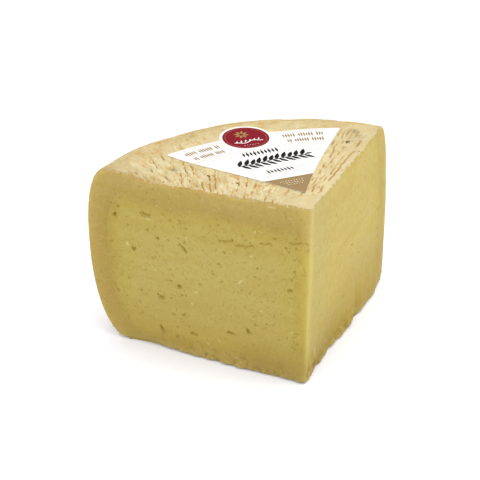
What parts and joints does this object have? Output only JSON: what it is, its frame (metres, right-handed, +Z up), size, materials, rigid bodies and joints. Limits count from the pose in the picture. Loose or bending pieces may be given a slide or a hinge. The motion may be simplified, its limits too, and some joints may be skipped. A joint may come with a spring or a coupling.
{
  "type": "quarter wheel of pecorino cheese",
  "caption": "Quarter of an aged sheep's-milk cheese wheel with plain cut faces, a rush-marked rind and a sector-shaped paper label on top.",
  "frame": {"origin": "middle of the bounding box, on the flat bottom that the piece stands on", "axes": "+Z up. +X from the left cut's rind corner to the right cut's. The centre edge, where the two cuts meet, points towards -Y and the rind wall towards +Y"},
  "size_m": [0.2065, 0.1556, 0.118],
  "materials": {
    "cheese": "pale golden cut cheese, faintly moist and satin, with a dry matte rind",
    "paper": null
  },
  "bodies": {
    "root": {"pecorino_wedge": "cheese", "paper_label": "paper"}
  },
  "joints": []
}
